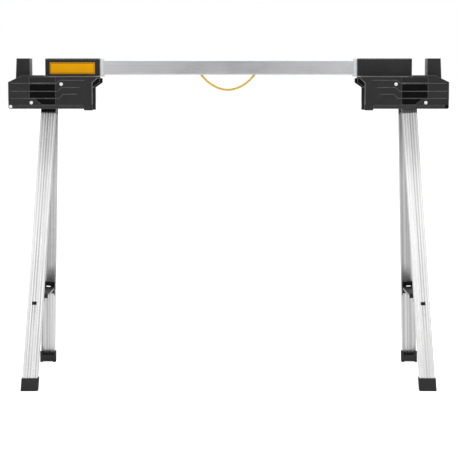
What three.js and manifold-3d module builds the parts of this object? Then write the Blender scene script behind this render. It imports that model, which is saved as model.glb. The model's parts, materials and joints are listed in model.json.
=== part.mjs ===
// Folding sawhorse: an aluminium beam on two pairs of channel legs. Each pair hangs on a leg head
// inside a ribbed bracket, closes flat on its two-link brace and swings in under the beam.
// Millimetres, +Z up, X along the beam, -Y is the front. The origin is on the floor, mid-length.

import * as THREE from 'three';
import { mergeVertices } from 'three/addons/utils/BufferGeometryUtils.js';
import Module from 'manifold-3d';

const wasm = await Module();
wasm.setup();

// ---- driving dimensions -------------------------------------------------------------------
const GAP = 0.3;                      // left between pieces that touch

const BEAM = { halfLength: 452, halfDepth: 20, bottom: 772, top: 809, wall: 2.2, corner: 2 };
const COLLAR = { inner: 316, outer: 324.3, halfDepth: 22.4, bottom: 767.2, top: 812.6, corner: 2.5 };
const CAP = { inner: 324.6, outer: 462.5, halfDepth: 26, bottom: 767.6, top: 813, wall: 4, corner: 1.6 };
const BADGE = { inner: 337.4, outer: 450.6, bottom: 774, top: 802.6, thick: 0.8 };

const PLATE = { inside: 47.6, face: 49.6, lip: 0.8, recess: 0.8 };
const RIB = { proud: 1.2, half: 1.1 };
const GUSSET_THICK = 2;
const SHELF = { bottom: 765.6, top: 767.2, inner: 341.4, slopeStart: 516.8, slopeEnd: 550, slopeLow: 751,
  wallLow: 700, wall: 2.5, seatInner: 463, seatOuter: 500.6, seatTop: 768 };
const POST = { inner: 501, outerTop: 534.7, outerLow: 537.2, halfDepth: 26, top: 813.2, wall: 3,
  foot: 767.5, heel: 516.9, tip: 757.8, open: 745 };

// Cross pins and rivets of the bracket, as [distance out from mid-length, height].
const UPPER_PIN = [420.2, 748.5];
const LOWER_PIN = [495.4, 702];
const CORNER_RIVET = [547.5, 692.2];
const PIN = { radius: 3, bore: 3.3, head: 4.6, headThick: 1.3, seat: 5.2, grip: 5.6, sides: 16 };

const BLANK = 800;                    // uncut stock length of a leg
const PAST = 1;                       // how far a cut runs past the face it opens
const LEAN = THREE.MathUtils.degToRad(2.8);       // legs lean out along the beam
const HINGE = { out: 453.8, height: 708 };        // where the legs hinge on the leg head
const FOOT_OUT = 206;                             // mid-beam to the middle of a foot, across
const LEG = { half: 19, depth: 17.5, wall: 1.8, above: 8.5, edge: 1.2, groove: 1.5, grooveDeep: 0.7,
  grooves: [-12.6, -6.3, 0, 6.3, 12.6], cornerCut: 11, innerCut: 8 };
const FOOT = { wall: 1.7, floor: 3.6, tall: 31, innerTall: 20, prong: 3, archHalf: 13.5, archHigh: 2 };
const BRACE = { height: 207, half: 14.5, thick: 6, eye: 4.4, wide: 75, holeWide: 11.6, holeHigh: 8.6, holeOut: 2,
  knuckle: 6.4, lapGap: 0.5 };
const SADDLE = { half: 17, cheek: 8, wall: 1.8 };
const HUB = { half: 16.6, radius: 6.4, pinPlay: 0.1 };
const ARM = { boss: 7.5, neckOut: 6.5, neckUp: 3.5, high: 7.2, blockStart: 22, blockLow: -12,
  blockHalf: 20 };

// The left pair folds flat between the right pair, so it hinges nearer the middle plane.
// Each end turns on one of the bracket's two pin places.
const ENDS = {
  left: { side: -1, hingeY: 12.05, pivot: LOWER_PIN, armHalf: 2.6 },
  right: { side: 1, hingeY: 32.25, pivot: UPPER_PIN, armHalf: 19.4 },
};

const CORD = { radius: 2.5, sides: 8, steps: 30 };
const CORD_ROUTE = [
  [-72.6, 776.4], [-70.6, 773.4], [-67.2, 769.2], [-62, 763.3], [-55, 756.5], [-46, 749.2],
  [-36, 743.1], [-25, 738.2], [-13, 735], [-2, 734], [9, 735], [21, 738.2], [32, 743.1],
  [42, 749.2], [51, 756.5], [58, 763.3], [63.2, 769.2], [66.6, 773.4], [68.6, 776.4],
];
const CORD_HOLE = { length: 12, width: 6.6, corner: 2, places: [-70.4, 66.4] };
const KNOT = { radius: 6.4, squash: 0.86, sides: 14, rings: 9 };

// ---- materials ----------------------------------------------------------------------------
const finish = (color, roughness, metalness) =>
  new THREE.MeshStandardMaterial({ color, roughness, metalness });
const brushedAluminium = finish(0xb9bbc0, 0.38, 0.95);
const legAluminium = finish(0xd6d8d8, 0.28, 0.95);
const charcoal = finish(0x38393b, 0.55, 0);
const footRubber = finish(0x333436, 0.75, 0);
const blackSteel = finish(0x26272a, 0.45, 0.4);
const brightSteel = finish(0xe4e4e2, 0.2, 1);
const lightTrim = finish(0xd9dadc, 0.45, 0.3);
const yellow = finish(0xf5a800, 0.45, 0);
const cordYellow = finish(0xe4bd2d, 0.7, 0);

// ---- solid helpers ------------------------------------------------------------------------
function solidOf(geometry) {
  const bare = geometry.index ? geometry.toNonIndexed() : geometry.clone();
  bare.deleteAttribute('normal');
  bare.deleteAttribute('uv');
  const merged = mergeVertices(bare, 1e-4);
  return new wasm.Manifold(new wasm.Mesh({
    numProp: 3,
    vertProperties: new Float32Array(merged.attributes.position.array),
    triVerts: new Uint32Array(merged.index.array),
  }));
}

function geometryOf(solid) {
  const mesh = solid.getMesh();
  const geometry = new THREE.BufferGeometry();
  geometry.setAttribute('position', new THREE.BufferAttribute(mesh.vertProperties, mesh.numProp));
  geometry.setIndex(new THREE.BufferAttribute(mesh.triVerts, 1));
  geometry.computeVertexNormals();
  return geometry;
}

const AXES = {
  x: [new THREE.Vector3(0, 1, 0), new THREE.Vector3(0, 0, 1), new THREE.Vector3(1, 0, 0)],
  y: [new THREE.Vector3(1, 0, 0), new THREE.Vector3(0, 0, 1), new THREE.Vector3(0, -1, 0)],
  z: [new THREE.Vector3(1, 0, 0), new THREE.Vector3(0, 1, 0), new THREE.Vector3(0, 0, 1)],
};

// A straight prism of an outline. Outline points are [y, z] along x, [x, z] along y, [x, y] along z.
function prism(axis, outline, from, to) {
  const [low, high] = sorted(from, to);
  const shape = new THREE.Shape(outline.map(([a, b]) => new THREE.Vector2(a, b)));
  const geometry = new THREE.ExtrudeGeometry(shape, { depth: high - low, bevelEnabled: false });
  geometry.applyMatrix4(new THREE.Matrix4().makeBasis(...AXES[axis]));
  const shift = { x: [low, 0, 0], y: [0, high, 0], z: [0, 0, low] }[axis];
  geometry.translate(...shift);
  return solidOf(geometry);
}

function box(xRange, yRange, zRange) {
  const middle = [xRange, yRange, zRange].map(([a, b]) => (a + b) / 2);
  const size = [xRange, yRange, zRange].map(([a, b]) => Math.abs(b - a));
  return solidOf(new THREE.BoxGeometry(...size).translate(...middle));
}

// A round bar along x or y; place is [y, z] or [x, z].
function bar(axis, place, radius, from, to, sides = PIN.sides) {
  const geometry = new THREE.CylinderGeometry(radius, radius, Math.abs(to - from), sides);
  const middle = (from + to) / 2;
  if (axis === 'x') geometry.rotateZ(Math.PI / 2).translate(middle, ...place);
  else geometry.translate(place[0], middle, place[1]);
  return solidOf(geometry);
}

// A rectangle with cut corners, as outline points.
function cutRectangle(a0, a1, b0, b1, cut) {
  return [[a0 + cut, b0], [a1 - cut, b0], [a1, b0 + cut], [a1, b1 - cut],
    [a1 - cut, b1], [a0 + cut, b1], [a0, b1 - cut], [a0, b0 + cut]];
}

// Low domed head of a pin, as [radius, place along the pin], from its shank out to its crown.
function domedHead(at, outwards) {
  const { radius, head, headThick } = PIN;
  return [[radius, at], [head, at], [head, at + outwards * headThick * 0.4],
    [head * 0.7, at + outwards * headThick * 0.9], [0, at + outwards * headThick]];
}

const turned = (profile) =>
  new THREE.LatheGeometry(profile.map(([r, along]) => new THREE.Vector2(r, along)), PIN.sides);

// A pin with a head at each end; its shank runs from -half to +half along x or y.
function headedPin(axis, place, half) {
  const geometry = turned([...domedHead(-half, -1).reverse(), ...domedHead(half, 1)]);
  if (axis === 'x') geometry.rotateZ(-Math.PI / 2).translate(0, ...place);
  else geometry.translate(place[0], 0, place[1]);
  return solidOf(geometry);
}

function meshOf(name, solid, material) {
  const mesh = new THREE.Mesh(geometryOf(solid), material);
  mesh.name = name;
  return mesh;
}

const sorted = (a, b) => [Math.min(a, b), Math.max(a, b)];
const outward = (side, points) => points.map(([out, z]) => [side * out, z]);

// ---- beam, its collars and end caps ---------------------------------------------------------
function beamRail() {
  const { halfLength, halfDepth, bottom, top, wall, corner } = BEAM;
  const section = cutRectangle(-halfDepth, halfDepth, bottom, top, corner);
  const outer = prism('x', section, -halfLength, halfLength);
  const inner = box([-halfLength - PAST, halfLength + PAST], [wall - halfDepth, halfDepth - wall],
    [bottom + wall, top - wall]);
  let rail = outer.subtract(inner);
  for (const place of CORD_HOLE.places) {
    const halfSlot = CORD_HOLE.length / 2;
    const halfWidth = CORD_HOLE.width / 2;
    const slot = cutRectangle(place - halfSlot, place + halfSlot, -halfWidth, halfWidth, CORD_HOLE.corner);
    rail = rail.subtract(prism('z', slot, bottom - PAST, bottom + wall + PAST));
  }
  return rail;
}

function beamCollar(side) {
  const { inner, outer, halfDepth, bottom, top, corner } = COLLAR;
  const section = cutRectangle(-halfDepth, halfDepth, bottom, top, corner);
  const ring = prism('x', section, side * inner, side * outer);
  const bore = box([side * (inner - PAST), side * (outer + PAST)],
    [-BEAM.halfDepth - GAP, BEAM.halfDepth + GAP], [BEAM.bottom - GAP, BEAM.top + GAP]);
  return ring.subtract(bore);
}

function beamCap(side) {
  const { inner, outer, halfDepth, bottom, top, wall, corner } = CAP;
  const section = cutRectangle(-halfDepth, halfDepth, bottom, top, corner);
  const shell = prism('x', section, side * inner, side * outer);
  const pocket = box([side * (inner - PAST), side * (outer - wall)],
    [-BEAM.halfDepth - GAP, BEAM.halfDepth + GAP], [BEAM.bottom - GAP, BEAM.top + GAP]);
  return shell.subtract(pocket);
}

function capBadge(side) {
  const face = -CAP.halfDepth - GAP;
  const { inner, outer, bottom, top, thick } = BADGE;
  return box([side * inner, side * outer], [face - thick, face], [bottom, top]);
}

// ---- carry cord ---------------------------------------------------------------------------
function carryCord() {
  const path = new THREE.CatmullRomCurve3(CORD_ROUTE.map(([x, z]) => new THREE.Vector3(x, 0, z)));
  const section = new THREE.Shape();
  for (let i = 0; i < CORD.sides; i += 1) {
    const turn = (i / CORD.sides) * 2 * Math.PI;
    const point = [CORD.radius * Math.cos(turn), CORD.radius * Math.sin(turn)];
    if (i === 0) section.moveTo(...point);
    else section.lineTo(...point);
  }
  const geometry = new THREE.ExtrudeGeometry(section, { steps: CORD.steps, extrudePath: path });
  return solidOf(geometry);
}

// The overhand knot that stops each end of the cord inside the beam, as a plain ball.
function cordKnot(end) {
  const order = end < 0 ? CORD_ROUTE : [...CORD_ROUTE].reverse();
  const [tip, next] = order.slice(0, 2).map(([x, z]) => new THREE.Vector2(x, z));
  const away = tip.clone().sub(next).normalize();
  const centre = tip.clone().addScaledVector(away, KNOT.radius + GAP);
  const ball = new THREE.SphereGeometry(KNOT.radius, KNOT.sides, KNOT.rings).scale(1, KNOT.squash, 1);
  return solidOf(ball.translate(centre.x, 0, centre.y));
}

// ---- bracket ------------------------------------------------------------------------------
// Outline of a ribbed side plate, seen from the front of the right-hand end.
const PLATE_OUTLINE = [
  [553.5, 753.7], [517.2, 770.8], [463, 770.8], [461.6, 767.2], [330, 767.2], [328.2, 763.7],
  [341.4, 751.2], [341.4, 682.4], [362.5, 682.4], [364.5, 686.5], [551, 686.5], [553.5, 689.2],
];
const WINDOW_OUTLINE = [
  [435.2, 697], [469.1, 697], [484, 710], [500.2, 710], [500.2, 748.6], [435.2, 748.6],
];
const RECESS_OUTLINE = [[435.2, 752.4], [500.2, 752.4], [500.2, 766], [435.2, 766]];
const LIP_OUTLINE = [[547, 686.5], [547, 696.2], [366, 696.2], [362.5, 692], [362.5, 686.5]];
const BEAD_OUTLINE = [
  [328.2, 763.7], [341.4, 751.2], [341.4, 697], [343.6, 697], [343.6, 752.2], [331.4, 763.7],
];
const GUSSET_OUTLINE = [
  [323.4, 763.6], [323.4, 752.5], [341.8, 739.6], [431, 739], [431, 695.2], [468.4, 695.2], [484.2, 709.7],
  [504, 709.7], [504, 763.6],
];
// Each rib runs in from the outer end, climbs past the window and dies out towards mid-length.
const RIBS = [
  [[547.3, 750.5], [433.2, 750.5], [421.9, 758], [360.5, 758]],
  [[547.5, 730.5], [428.4, 730.5], [419.5, 740], [373.1, 740]],
  [[547.7, 712.8], [424.8, 712.8], [415.9, 723], [380.8, 723]],
];

function ribStrip(side, line, from, to) {
  const upper = line.map(([out, z]) => [out, z + RIB.half]);
  const lower = line.map(([out, z]) => [out, z - RIB.half]).reverse();
  return prism('y', outward(side, [...upper, ...lower]), from, to);
}

function bracketPlate(side, face) {
  const [inside, outside] = [face * PLATE.inside, face * PLATE.face];
  let plate = prism('y', outward(side, PLATE_OUTLINE), inside, outside);
  const through = [inside - face * PAST, outside + face * PAST];
  plate = plate.subtract(prism('y', outward(side, WINDOW_OUTLINE), ...through));
  const recess = outward(side, RECESS_OUTLINE);
  plate = plate.subtract(prism('y', recess, outside - face * PLATE.recess, outside + face * PAST));
  for (const line of RIBS) {
    plate = plate.add(ribStrip(side, line, inside, outside + face * RIB.proud));
  }
  for (const outline of [LIP_OUTLINE, BEAD_OUTLINE]) {
    plate = plate.add(prism('y', outward(side, outline), inside, outside + face * PLATE.lip));
  }
  for (const [out, z] of [UPPER_PIN, LOWER_PIN, CORNER_RIVET]) {
    plate = plate.subtract(bar('y', [side * out, z], PIN.bore, ...through));
    const seat = bar('y', [side * out, z], PIN.seat, outside, outside + face * 2 * RIB.proud);
    plate = plate.subtract(seat);
  }
  return plate;
}

// Steel doubler behind each plate. It backs the upper pin and the window, and its nose shows past
// the plate's inner corner.
function pivotGusset(side, face) {
  const [outer, inner] = [face * (PLATE.inside - GAP), face * (PLATE.inside - GAP - GUSSET_THICK)];
  const gusset = prism('y', outward(side, GUSSET_OUTLINE), inner, outer);
  const [out, z] = UPPER_PIN;
  return gusset.subtract(bar('y', [side * out, z], PIN.bore, inner - face * PAST, outer + face * PAST));
}

// One moulding between the plates: the shelf under the cap, with a raised seat across the lumber
// slot, then the sloping end and the end wall.
function bracketCore(side) {
  const { bottom, top, inner, slopeStart, slopeEnd, slopeLow, wallLow, wall } = SHELF;
  const { seatInner, seatOuter, seatTop } = SHELF;
  const outline = [
    [inner, top], [seatInner, top], [seatInner, seatTop], [seatOuter, seatTop], [seatOuter, top],
    [slopeStart, top], [slopeEnd, slopeLow], [slopeEnd, wallLow], [slopeEnd - wall, wallLow],
    [slopeEnd - wall, slopeLow + bottom - top], [slopeStart, bottom], [inner, bottom],
  ];
  return prism('y', outward(side, outline), -PLATE.inside + GAP, PLATE.inside - GAP);
}

// Upright stop on the outer side of the lumber slot, a shell open at the bottom.
function supportPost(side) {
  const { inner, outerTop, outerLow, halfDepth, top, wall, foot, heel, tip, open } = POST;
  const outline = [[inner, top], [outerTop, top], [outerLow, tip], [heel, foot], [inner, foot]];
  const hollow = [[inner + wall, top - wall], [outerTop - wall, top - wall], [outerLow - wall, open],
    [inner + wall, open]];
  const shell = prism('y', outward(side, outline), -halfDepth, halfDepth);
  return shell.subtract(prism('y', outward(side, hollow), wall - halfDepth, halfDepth - wall));
}

const throughPin = (side, [out, z]) => headedPin('y', [side * out, z], PLATE.face + GAP);

// Short rivet through one plate and whatever backs it.
function shortRivet(side, face, [out, z]) {
  const seat = PLATE.face + GAP;
  const rivet = turned([[0, seat - PIN.grip], [PIN.radius, seat - PIN.grip], ...domedHead(seat, 1)]);
  if (face < 0) rivet.rotateX(Math.PI);
  return solidOf(rivet.translate(side * out, 0, z));
}

// ---- leg head, in its own leaning frame: origin between the two leg hinges ------------------
function toHeadFrame(side, [out, z]) {
  const across = out - HINGE.out;
  const up = z - HINGE.height;
  const localOut = across * Math.cos(LEAN) + up * Math.sin(LEAN);
  return [side * localOut, up * Math.cos(LEAN) - across * Math.sin(LEAN)];
}

function legHead({ side, hingeY, pivot, armHalf }) {
  const [px, pz] = toHeadFrame(side, pivot);
  let head = box([-HUB.half, HUB.half], [-hingeY, hingeY], [-HUB.radius, HUB.radius]);
  for (const face of [-1, 1]) {
    head = head.add(bar('x', [face * hingeY, 0], HUB.radius, -HUB.half, HUB.half));
  }
  const bossHalf = PLATE.inside - 2 * GAP - GUSSET_THICK;
  head = head.add(bar('y', [px, pz], ARM.boss, -bossHalf, bossHalf));
  const out = side * px;
  const hubBottom = [[-HUB.half, -HUB.radius], [HUB.half, -HUB.radius]];
  if (pivot === UPPER_PIN) {
    const arm = [...hubBottom, [HUB.half, HUB.radius], [out + ARM.neckOut, pz + ARM.neckUp],
      [out - ARM.neckOut, pz - ARM.neckUp]];
    head = head.add(prism('y', outward(side, arm), -armHalf, armHalf));
  } else {
    const arm = [...hubBottom, [out, pz - ARM.high], [out, pz + ARM.high], [HUB.half, HUB.radius],
      [-HUB.half, HUB.radius]];
    head = head.add(prism('y', outward(side, arm), -armHalf, armHalf));
    const { blockStart, blockLow, blockHalf, high } = ARM;
    const block = [[blockStart, blockLow], [out, pz - high], [out, pz + high], [blockStart, 0]];
    head = head.add(prism('y', outward(side, block), -blockHalf, blockHalf));
  }
  head = head.subtract(bar('y', [px, pz], PIN.bore, -bossHalf - PAST, bossHalf + PAST));
  for (const face of [-1, 1]) {
    head = head.subtract(bar('x', [face * hingeY, 0], PIN.bore, -HUB.half - PAST, HUB.half + PAST));
  }
  return head;
}

// ---- legs, each in its own frame: origin on its hinge, leg hanging down -Z ------------------
const splayOf = ({ hingeY }) => Math.atan2(FOOT_OUT - hingeY, HINGE.height);
const braceDrop = (end) =>
  (HINGE.height - BRACE.height) / (Math.cos(splayOf(end)) * Math.cos(LEAN));
const braceReach = (end) => end.hingeY + braceDrop(end) * Math.sin(splayOf(end));
const bracePlane = (end) => -braceDrop(end) * Math.cos(splayOf(end));
const lapSide = (end, face) => (face > 0 ? -end.side : end.side);

// The channel's section: web outside with five grooves, flanges reaching in to the open side.
function channelSection(face) {
  const { half, depth, wall, edge, groove, grooveDeep, grooves } = LEG;
  const web = depth / 2;
  const outline = [[-half, -web], [-half, web - edge], [edge - half, web]];
  for (const middle of grooves) {
    outline.push([middle - groove, web], [middle - groove * 0.6, web - grooveDeep],
      [middle + groove * 0.6, web - grooveDeep], [middle + groove, web]);
  }
  outline.push([half - edge, web], [half, web - edge], [half, -web], [half - wall, -web],
    [half - wall, web - wall], [wall - half, web - wall], [wall - half, -web]);
  return outline.map(([x, y]) => [x, face * y]);
}

// Everything under the given world height, in the frame of a group.
function belowHeight(group, height) {
  const slab = new THREE.BoxGeometry(2 * BLANK, 2 * BLANK, BLANK).translate(0, 0, height - BLANK / 2);
  return solidOf(slab.applyMatrix4(group.matrixWorld.clone().invert()));
}

// The oblong hole at the brace, through the channel's web and the saddle's back.
function oblongHole(end, face) {
  const drop = braceDrop(end);
  const middle = end.side * BRACE.holeOut;
  const [halfWide, halfHigh] = [BRACE.holeWide / 2, BRACE.holeHigh / 2];
  return box([middle - halfWide, middle + halfWide], sorted(0, face * LEG.depth),
    [-drop - halfHigh, halfHigh - drop]);
}

function legChannel(end, face, group) {
  const { half, depth, above, cornerCut, innerCut } = LEG;
  const drop = braceDrop(end);
  const [over, wide] = [above + PAST, half + PAST];
  let leg = prism('z', channelSection(face), -BLANK, above);
  leg = leg.subtract(belowHeight(group, FOOT.floor + GAP));
  for (const edge of [-1, 1]) {
    const corner = [[edge * wide, over], [edge * wide, above - cornerCut],
      [edge * (half - cornerCut), over]];
    leg = leg.subtract(prism('y', corner, -depth, depth));
  }
  const openEdge = -face * (depth / 2 + PAST);
  const inward = [[openEdge, over], [openEdge, above - innerCut],
    [openEdge + face * (innerCut + PAST), over]];
  leg = leg.subtract(prism('x', inward, -wide, wide));
  leg = leg.subtract(bar('x', [0, 0], PIN.bore, -wide, wide));
  leg = leg.subtract(bar('x', [0, -drop], PIN.bore, -wide, wide));
  return leg.subtract(oblongHole(end, face));
}

// Moulded foot: a cup round the channel with a low wall and two short pads on the open side.
function footCap(end, face, group) {
  const { wall, floor, tall, innerTall, prong, archHalf, archHigh } = FOOT;
  const outX = LEG.half + GAP + wall;
  const outY = LEG.depth / 2 + GAP + wall;
  const along = [-BLANK, -HINGE.height + BRACE.height];
  let foot = box([-outX, outX], [-outY, outY], along).subtract(belowHeight(group, 0));
  foot = foot.intersect(belowHeight(group, tall));
  const pocket = box([-LEG.half - GAP, LEG.half + GAP], [wall - outY, outY - wall], along);
  foot = foot.subtract(pocket.subtract(belowHeight(group, floor)));
  const innerSide = sorted(-face * (outY + PAST), -face * (outY - wall - PAST));
  const notch = box([prong - LEG.half, LEG.half - prong], innerSide, along);
  foot = foot.subtract(notch.subtract(belowHeight(group, innerTall)));
  const arch = box([-archHalf, archHalf], sorted(0, -face * 2 * outY), along);
  return foot.subtract(arch.intersect(belowHeight(group, archHigh)));
}

// Black U-shaped saddle riveted inside the channel; the brace link turns between its cheeks.
function braceSaddle(end, face) {
  const drop = braceDrop(end);
  const back = LEG.depth / 2 - LEG.wall - GAP;
  const outerHalf = LEG.half - LEG.wall - GAP;
  const { half, cheek, wall } = SADDLE;
  const channel = sorted(-face * cheek, face * back);
  let saddle = box([-outerHalf, outerHalf], channel, [-drop - half, half - drop]);
  const throat = sorted(-face * (cheek + PAST), face * (back - wall));
  saddle = saddle.subtract(box([-BRACE.half - GAP, BRACE.half + GAP], throat,
    [-drop - half - PAST, half + PAST - drop]));
  saddle = saddle.subtract(bar('x', [0, -drop], PIN.bore, -LEG.half, LEG.half));
  return saddle.subtract(oblongHole(end, face));
}

// ---- brace, each link in the frame of the head: straight across while the legs stand ---------
// Past BRACE.wide a link is half as wide, so that the two lap side by side at the middle.
function braceLink(end, face) {
  const reach = braceReach(end);
  const { half, thick, eye, wide, knuckle, lapGap } = BRACE;
  const plane = bracePlane(end);
  const towards = lapSide(end, face);
  const lapRange = sorted(towards * lapGap, towards * half);
  const thickRange = [plane - thick / 2, plane + thick / 2];
  let link = box([-half, half], sorted(face * (reach - wide), face * reach), thickRange);
  link = link.add(bar('x', [face * reach, plane], eye, -half, half));
  link = link.add(box(lapRange, sorted(0, face * (reach - wide + PAST)), thickRange));
  link = link.add(bar('x', [0, plane], knuckle, ...lapRange));
  for (const across of [face * reach, 0]) {
    link = link.subtract(bar('x', [across, plane], PIN.bore, -half - PAST, half + PAST));
  }
  return link;
}

// Half of the middle rivet, in one link's eye, with its head on the outside.
function kneeRivet(end, face) {
  const rivet = turned([[0, BRACE.lapGap], [PIN.radius, BRACE.lapGap], ...domedHead(BRACE.half + GAP, 1)]);
  rivet.rotateZ(-lapSide(end, face) * Math.PI / 2);
  return solidOf(rivet.translate(0, 0, bracePlane(end)));
}

// ---- assembly -----------------------------------------------------------------------------
const group = new THREE.Group();
group.add(meshOf('beam_rail', beamRail(), brushedAluminium));
group.add(meshOf('carry_cord', carryCord(), cordYellow));
group.add(meshOf('cord_knot_left', cordKnot(-1), cordYellow));
group.add(meshOf('cord_knot_right', cordKnot(1), cordYellow));
group.add(meshOf('cap_badge', capBadge(-1), yellow));

function addBracket(name, end) {
  const { side, pivot } = end;
  group.add(meshOf(`beam_collar_${name}`, beamCollar(side), lightTrim));
  group.add(meshOf(`beam_cap_${name}`, beamCap(side), charcoal));
  group.add(meshOf(`bracket_core_${name}`, bracketCore(side), charcoal));
  group.add(meshOf(`support_post_${name}`, supportPost(side), charcoal));
  group.add(meshOf(`head_pivot_pin_${name}`, throughPin(side, pivot), brightSteel));
  const cornerFinish = side < 0 ? brightSteel : blackSteel;
  group.add(meshOf(`corner_rivet_${name}`, throughPin(side, CORNER_RIVET), cornerFinish));
  for (const [facing, face] of [['front', -1], ['rear', 1]]) {
    group.add(meshOf(`bracket_plate_${facing}_${name}`, bracketPlate(side, face), charcoal));
    group.add(meshOf(`pivot_gusset_${facing}_${name}`, pivotGusset(side, face), blackSteel));
    const other = pivot === UPPER_PIN ? LOWER_PIN : UPPER_PIN;
    group.add(meshOf(`plate_rivet_${facing}_${name}`, shortRivet(side, face, other), brightSteel));
  }
}

function addLegs(name, end) {
  const headGroup = new THREE.Group();
  headGroup.position.set(end.side * HINGE.out, 0, HINGE.height);
  headGroup.rotation.y = -end.side * LEAN;
  group.add(headGroup);
  headGroup.add(meshOf(`leg_head_${name}`, legHead(end), blackSteel));
  for (const [facing, face] of [['front', -1], ['rear', 1]]) {
    const hinge = headedPin('x', [face * end.hingeY, 0], LEG.half + HUB.pinPlay);
    headGroup.add(meshOf(`leg_hinge_pin_${facing}_${name}`, hinge, brightSteel));
    headGroup.add(meshOf(`brace_link_${facing}_${name}`, braceLink(end, face), blackSteel));
    headGroup.add(meshOf(`brace_knee_rivet_${facing}_${name}`, kneeRivet(end, face), brightSteel));

    const legGroup = new THREE.Group();
    legGroup.position.y = face * end.hingeY;
    legGroup.rotation.x = face * splayOf(end);
    headGroup.add(legGroup);
    group.updateMatrixWorld(true);
    legGroup.add(meshOf(`leg_${facing}_${name}`, legChannel(end, face, legGroup), legAluminium));
    legGroup.add(meshOf(`foot_cap_${facing}_${name}`, footCap(end, face, legGroup), footRubber));
    legGroup.add(meshOf(`brace_saddle_${facing}_${name}`, braceSaddle(end, face), blackSteel));
    const bracePin = headedPin('x', [0, -braceDrop(end)], LEG.half + GAP);
    legGroup.add(meshOf(`brace_pin_${facing}_${name}`, bracePin, brightSteel));
  }
}

for (const [name, end] of Object.entries(ENDS)) {
  addBracket(name, end);
  addLegs(name, end);
}

export default group;
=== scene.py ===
import json
import math

import bmesh
import bpy
from mathutils import Matrix, Vector

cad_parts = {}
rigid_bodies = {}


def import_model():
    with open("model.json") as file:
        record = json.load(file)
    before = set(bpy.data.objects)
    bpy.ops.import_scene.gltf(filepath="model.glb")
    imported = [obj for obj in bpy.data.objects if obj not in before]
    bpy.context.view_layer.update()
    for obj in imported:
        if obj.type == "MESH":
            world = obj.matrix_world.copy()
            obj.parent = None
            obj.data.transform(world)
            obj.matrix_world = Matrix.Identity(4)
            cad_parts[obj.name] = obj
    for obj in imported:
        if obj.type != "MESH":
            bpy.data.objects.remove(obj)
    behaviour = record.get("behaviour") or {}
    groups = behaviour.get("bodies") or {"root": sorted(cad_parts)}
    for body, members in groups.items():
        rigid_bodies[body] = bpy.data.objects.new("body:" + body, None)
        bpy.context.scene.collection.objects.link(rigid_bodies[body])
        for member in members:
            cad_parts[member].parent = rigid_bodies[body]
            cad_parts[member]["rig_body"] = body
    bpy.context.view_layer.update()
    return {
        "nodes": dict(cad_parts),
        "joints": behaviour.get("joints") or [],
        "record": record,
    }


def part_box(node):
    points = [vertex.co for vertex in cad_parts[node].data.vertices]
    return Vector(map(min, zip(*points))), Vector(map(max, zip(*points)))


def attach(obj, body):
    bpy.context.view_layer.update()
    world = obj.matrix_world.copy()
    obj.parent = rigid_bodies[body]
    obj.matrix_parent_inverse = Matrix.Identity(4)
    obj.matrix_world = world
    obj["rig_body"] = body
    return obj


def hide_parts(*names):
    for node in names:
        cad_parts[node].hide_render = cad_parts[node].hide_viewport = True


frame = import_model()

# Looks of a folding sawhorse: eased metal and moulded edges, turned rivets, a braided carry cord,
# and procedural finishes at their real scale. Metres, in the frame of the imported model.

MM = 0.001
ENDS = {"left": -1, "right": 1}
FACES = {"front": -1, "rear": 1}
JOINTS = {joint["name"]: joint for joint in frame["joints"]}
SLOTS = {part["node"]: part["material_slot"] for part in frame["record"]["subparts"]}
GRAIN = "grain"            # place on the piece in metres, x along the drawing or brushing direction
WEAR_AND_LIGHT = "wear"              # 1 where a finish rubs first, as on edges, and where raised parts get painted highlight; -1 where a recess gets painted shade

# Camera, at standing distance with a long lens.
CAMERA_PLACE = (0.001, -4.1, 0.7544)
CAMERA_TILT = math.radians(84.91)
CAMERA_LENS = 126.4
CAMERA_REACH = 80          # how far the camera still draws, past the end of the floor

# Route of the carry cord's middle line, from inside the rail and back into it.
CORD_ROUTE = [
    (-0.0726, 0.7764), (-0.0706, 0.7734), (-0.0672, 0.7692), (-0.062, 0.7633), (-0.055, 0.7565),
    (-0.046, 0.7492), (-0.036, 0.7431), (-0.025, 0.7382), (-0.013, 0.735), (-0.002, 0.734),
    (0.009, 0.735), (0.021, 0.7382), (0.032, 0.7431), (0.042, 0.7492), (0.051, 0.7565),
    (0.058, 0.7633), (0.0632, 0.7692), (0.0666, 0.7734), (0.0686, 0.7764),
]
CORD_DIAMETER = 0.005
CORD_STEP = 0.4 * MM       # between the rings of its mesh
KNOT_STRAND = 1.5 * MM     # half the thickness of the cord drawn tight in a knot
KNOT_STEPS = 90


# ---- camera ---------------------------------------------------------------------------------
def set_camera():
    lens = bpy.data.cameras.new("long_lens")
    lens.lens = CAMERA_LENS
    lens.clip_end = CAMERA_REACH
    camera = bpy.data.objects.new("standing_camera", lens)
    camera.location = CAMERA_PLACE
    camera.rotation_euler = (CAMERA_TILT, 0, 0)
    bpy.context.scene.collection.objects.link(camera)
    bpy.context.scene.camera = camera


# ---- meshes ---------------------------------------------------------------------------------
FLAT_ANGLE = math.radians(0.8)     # faces that meet at less than this are one flat
HARD_ANGLE = math.radians(24)      # and at more than this, a hard edge
CREASE_ANGLE = math.radians(40)    # and at more than this, not shaded as one surface
TURN_ANGLE = math.radians(1)       # least bend that keeps a point in an outline
WELD = 0.01 * MM                   # points of a solid closer than this are one
FINE_WELD = 0.001 * MM
ROUNDED_SLOPE = (0.2, 0.98)        # how far a slab's rounded faces turn towards its flats


def show(name, mesh):
    piece = bpy.data.objects.new(name, mesh)
    bpy.context.scene.collection.objects.link(piece)
    return piece


def lay_grain(mesh, along=(1, 0, 0), origin=(0, 0, 0)):
    """Stores each point's place with x measured along the given direction."""
    turn = Vector(along).to_track_quat("X", "Z").to_matrix().inverted()
    attribute = mesh.attributes.new(GRAIN, "FLOAT_VECTOR", "POINT")
    for point, vertex in zip(attribute.data, mesh.vertices):
        point.vector = turn @ (vertex.co - Vector(origin))


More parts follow.
